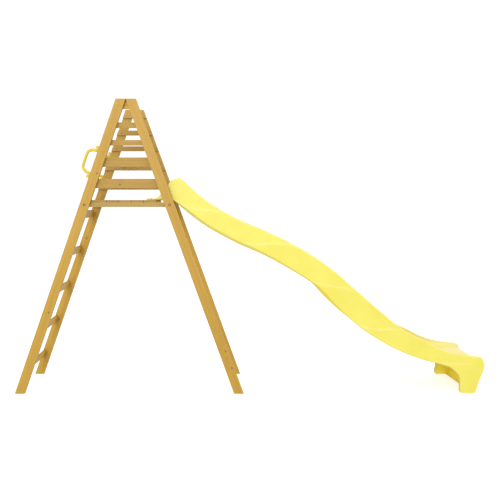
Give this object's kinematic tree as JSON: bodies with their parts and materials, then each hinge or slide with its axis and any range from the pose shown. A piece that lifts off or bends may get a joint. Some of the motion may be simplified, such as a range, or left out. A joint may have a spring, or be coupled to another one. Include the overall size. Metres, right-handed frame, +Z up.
{
  "type": "toddler slide",
  "caption": "Timber A-frame tower with a rung ladder, platform, guard boards and hand grips, and a one-piece wavy plastic slide.",
  "frame": {"origin": "middle of the whole footprint, on the floor", "axes": "+X from the ladder to the slide's exit, +Z up, +Y across the tower to the far A-frame"},
  "size_m": [3.6656, 0.6096, 2.25],
  "materials": {
    "leg_timber": "planed pine with a honey stain, satin",
    "board_timber": "planed pine, paler, fine grain, satin",
    "platform_timber": "planed pine, paler, fine grain, satin",
    "slide_plastic": "lemon yellow moulded polyethylene, fine satin texture",
    "grip_plastic": "strong yellow moulded plastic, satin gloss",
    "zinc_hardware": "bright zinc plating"
  },
  "bodies": {
    "root": {"bearer_bolt_far_ladder": "zinc_hardware", "bearer_bolt_far_slide": "zinc_hardware", "bearer_bolt_near_ladder": "zinc_hardware", "bearer_bolt_near_slide": "zinc_hardware", "bearer_far": "platform_timber", "bearer_near": "platform_timber", "bearer_nut_far_ladder": "zinc_hardware", "bearer_nut_far_slide": "zinc_hardware", "bearer_nut_near_ladder": "zinc_hardware", "bearer_nut_near_slide": "zinc_hardware", "deck_board_1": "platform_timber", "deck_board_2": "platform_timber", "deck_board_3": "platform_timber", "deck_board_4": "platform_timber", "deck_board_5": "platform_timber", "deck_board_6": "platform_timber", "flange_screw_far": "zinc_hardware", "flange_screw_near": "zinc_hardware", "grip_screw_far_1": "zinc_hardware", "grip_screw_far_2": "zinc_hardware", "grip_screw_near_1": "zinc_hardware", "grip_screw_near_2": "zinc_hardware", "guard_board_far_1": "board_timber", "guard_board_far_2": "board_timber", "guard_board_far_3": "board_timber", "guard_board_far_4": "board_timber", "guard_board_near_1": "board_timber", "guard_board_near_2": "board_timber", "guard_board_near_3": "board_timber", "guard_board_near_4": "board_timber", "guard_screw_far_ladder_1": "zinc_hardware", "guard_screw_far_ladder_2": "zinc_hardware", "guard_screw_far_ladder_3": "zinc_hardware", "guard_screw_far_ladder_4": "zinc_hardware", "guard_screw_far_slide_1": "zinc_hardware", "guard_screw_far_slide_2": "zinc_hardware", "guard_screw_far_slide_3": "zinc_hardware", "guard_screw_far_slide_4": "zinc_hardware", "guard_screw_near_ladder_1": "zinc_hardware", "guard_screw_near_ladder_2": "zinc_hardware", "guard_screw_near_ladder_3": "zinc_hardware", "guard_screw_near_ladder_4": "zinc_hardware", "guard_screw_near_slide_1": "zinc_hardware", "guard_screw_near_slide_2": "zinc_hardware", "guard_screw_near_slide_3": "zinc_hardware", "guard_screw_near_slide_4": "zinc_hardware", "gusset_far": "board_timber", "gusset_near": "board_timber", "hand_grip_far": "grip_plastic", "hand_grip_near": "grip_plastic", "leg_far_ladder": "leg_timber", "leg_far_slide": "leg_timber", "leg_near_ladder": "leg_timber", "leg_near_slide": "leg_timber", "rung_1": "board_timber", "rung_2": "board_timber", "rung_3": "board_timber", "rung_4": "board_timber", "rung_5": "board_timber", "slide": "slide_plastic"}
  },
  "joints": []
}
